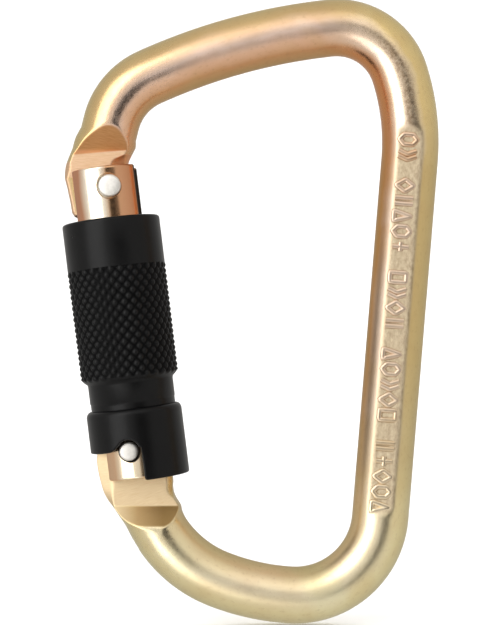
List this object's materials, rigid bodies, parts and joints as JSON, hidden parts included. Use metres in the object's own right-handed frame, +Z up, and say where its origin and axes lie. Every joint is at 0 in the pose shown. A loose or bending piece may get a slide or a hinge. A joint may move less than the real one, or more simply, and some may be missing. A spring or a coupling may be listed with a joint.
{
  "type": "locking carabiner",
  "caption": "Offset D-shaped connector bent from round steel bar, with a pinned gate that swings inward and a knurled self-locking sleeve.",
  "frame": {"origin": "where an anchor bears: the highest point inside the top basket, half way through the bar's thickness", "axes": "+Z up the connector from the hinge end to the nose end, +X from the gate to the spine, -Y the front, which shows the rivet heads and the collar's notch"},
  "size_m": [0.0735, 0.0192, 0.1215],
  "materials": {
    "plated_steel": "bright yellow-zinc plating with pink and olive tints, satin gloss",
    "rivet_steel": "bright white-zinc plating",
    "spring_steel": "drawn spring wire",
    "black_sleeve": "satin black anodised, knurled grip"
  },
  "bodies": {
    "frame": {"frame_bar": "plated_steel", "hinge_rivet": "rivet_steel"},
    "gate": {"gate_bar": "plated_steel", "latch_pin": "rivet_steel", "gate_spring": "spring_steel", "stop_collar": "rivet_steel", "sleeve_spring": "spring_steel"},
    "plunger": {"plunger": "rivet_steel"},
    "sleeve": {"grip_sleeve": "black_sleeve", "lock_collar": "black_sleeve"}
  },
  "joints": [
    {"name": "gate_swing", "type": "hinge", "parent": "frame", "child": "gate", "pos_m": [-0.04012, 0, -0.07658], "axis": [0, 1, 0], "range_deg": [0, 35], "stiffness_Nm_per_rad": 0.15, "springref_deg": -28.65},
    {"name": "sleeve_turn", "type": "hinge", "parent": "gate", "child": "sleeve", "pos_m": [-0.03873, 0, -0.07641], "axis": [0.1219, 0, -0.9925], "range_deg": [0, 90], "stiffness_Nm_per_rad": 0.01, "springref_deg": -28.65},
    {"name": "plunger_slide", "type": "slide", "parent": "gate", "child": "plunger", "axis": [-0.1219, 0, 0.9925], "range_m": [0, 0.002], "deforming": ["gate_spring"]}
  ],
  "couplings": [
    {"joint": "sleeve_turn", "follows": "gate_swing", "ratio": 2.5714},
    {"joint": "plunger_slide", "follows": "gate_swing", "m_per_rad": 0.00327}
  ]
}
